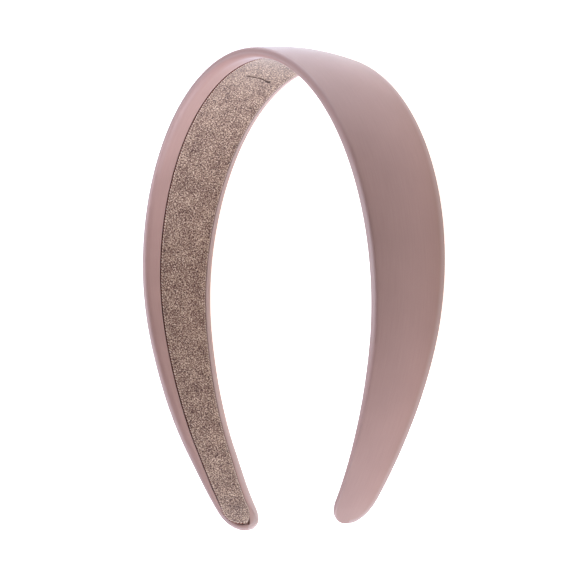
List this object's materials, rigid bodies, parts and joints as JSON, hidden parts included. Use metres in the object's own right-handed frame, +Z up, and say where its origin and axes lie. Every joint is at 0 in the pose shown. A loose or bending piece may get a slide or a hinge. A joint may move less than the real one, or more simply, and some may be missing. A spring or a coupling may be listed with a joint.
{
  "type": "hard headband",
  "caption": "Hard headband: a stiff open arch, wide at the crown and narrow at its rounded ends, wrapped in satin with a woven lining strip inside.",
  "frame": {"origin": "bottom centre of the headband's box, on the surface that it lies on", "axes": "+X from one leg to the other, +Y from the tips to the crown, +Z up across the band's width, from its rear edge to its front edge"},
  "size_m": [0.1422, 0.1464, 0.0308],
  "materials": {
    "satin": "satin",
    "hard_band": "matte",
    "lining": "woven"
  },
  "bodies": {
    "root": {"satin_cover": "satin", "hard_band": "hard_band", "lining": "lining"}
  },
  "joints": []
}
